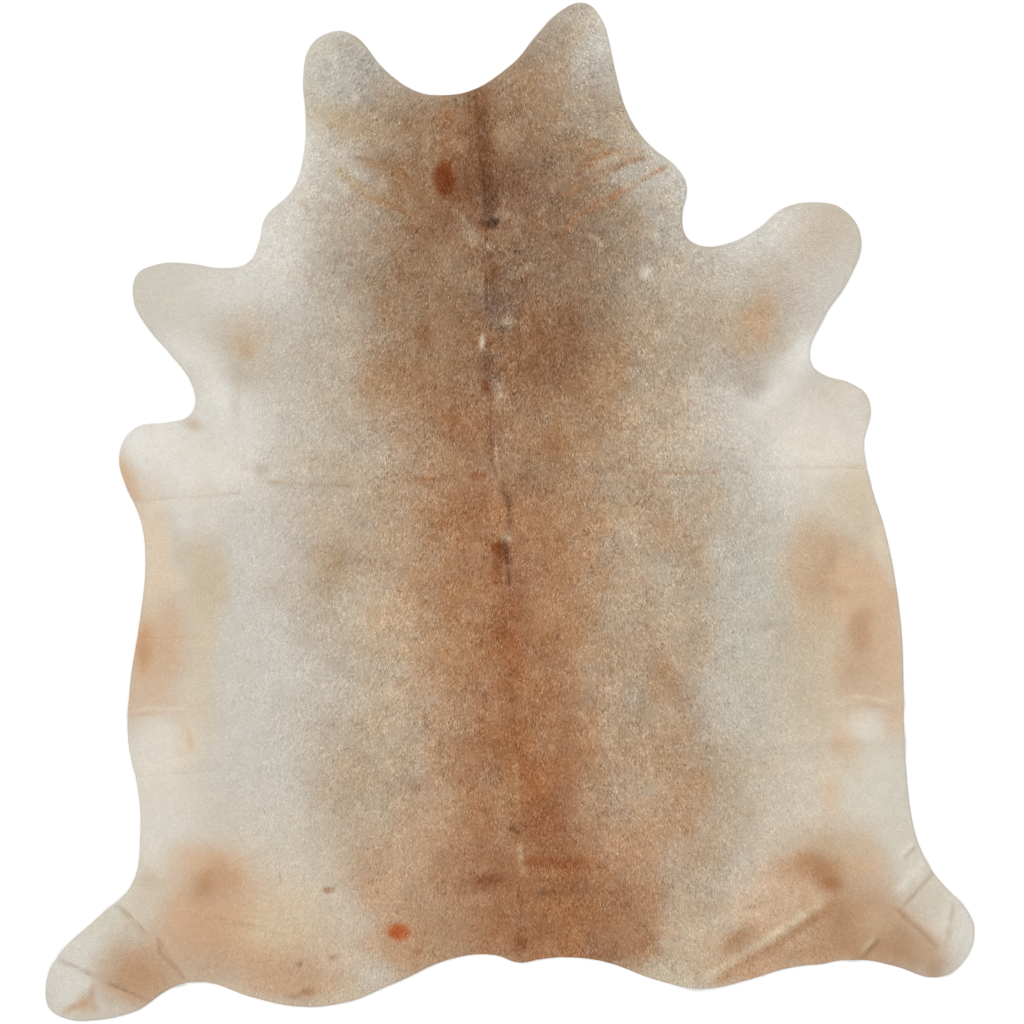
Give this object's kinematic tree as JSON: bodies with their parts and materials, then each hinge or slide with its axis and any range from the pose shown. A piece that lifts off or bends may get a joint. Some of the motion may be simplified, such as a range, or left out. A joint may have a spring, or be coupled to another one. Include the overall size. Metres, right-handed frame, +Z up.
{
  "type": "hair-on cowhide rug",
  "caption": "Hair-on cowhide rug: a thin flat hide with the outline of neck, legs and rump and shallow packing folds, which lies on a floor.",
  "frame": {"origin": "on the floor, at the middle of the rug's bounding box", "axes": "+Z up out of the hair side, +Y along the spine towards the neck, +X to the right seen from above"},
  "size_m": [2.0082, 2.2021, 0.0105],
  "materials": {
    "hide": "short laid hair, satin"
  },
  "bodies": {
    "root": {"hide": "hide"}
  },
  "joints": []
}
